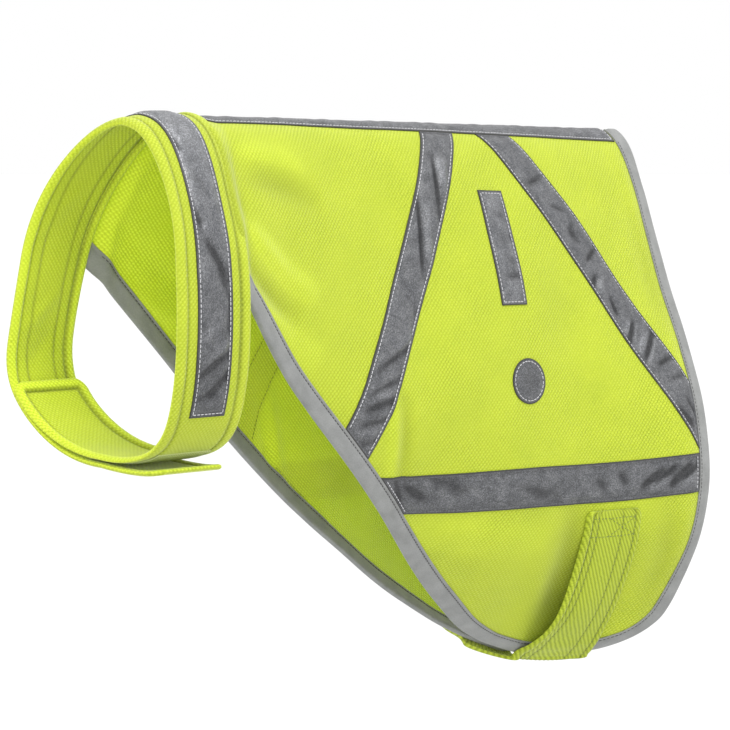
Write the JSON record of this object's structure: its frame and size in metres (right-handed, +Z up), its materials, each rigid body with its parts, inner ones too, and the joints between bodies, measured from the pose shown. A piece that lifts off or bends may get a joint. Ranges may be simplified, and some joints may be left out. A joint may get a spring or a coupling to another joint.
{
  "type": "dog safety vest",
  "caption": "High-visibility mesh vest for a dog: a neck band with a hook-and-loop closure, a back coat with a reflective warning triangle, and a belly strap.",
  "frame": {"origin": "under the cloth on the spine line, in the middle of the back, where the wearer's back holds the vest", "axes": "+X along the spine towards the tail, +Z up, -Y the dog's left side"},
  "size_m": [0.4485, 0.1802, 0.354],
  "materials": {
    "hi_vis_mesh": "matt mesh knit",
    "reflective_tape": "grey glass-bead tape",
    "grey_binding": "matt woven binding",
    "hi_vis_webbing": "ribbed webbing",
    "hook_tape": "hook tape"
  },
  "bodies": {
    "root": {"back_panel_left": "hi_vis_mesh", "back_panel_right": "hi_vis_mesh", "edge_binding_left": "grey_binding", "edge_binding_right": "grey_binding", "spine_tape": "reflective_tape", "front_tape_left": "reflective_tape", "front_tape_right": "reflective_tape", "rear_tape_left": "reflective_tape", "rear_tape_right": "reflective_tape", "lower_tape_left": "reflective_tape", "lower_tape_right": "reflective_tape", "bar_left": "reflective_tape", "bar_right": "reflective_tape", "dot_left": "reflective_tape", "dot_right": "reflective_tape", "neck_band": "hi_vis_mesh", "neck_tape": "reflective_tape", "neck_hook_patch": "hook_tape", "belly_strap": "hi_vis_webbing"}
  },
  "joints": []
}
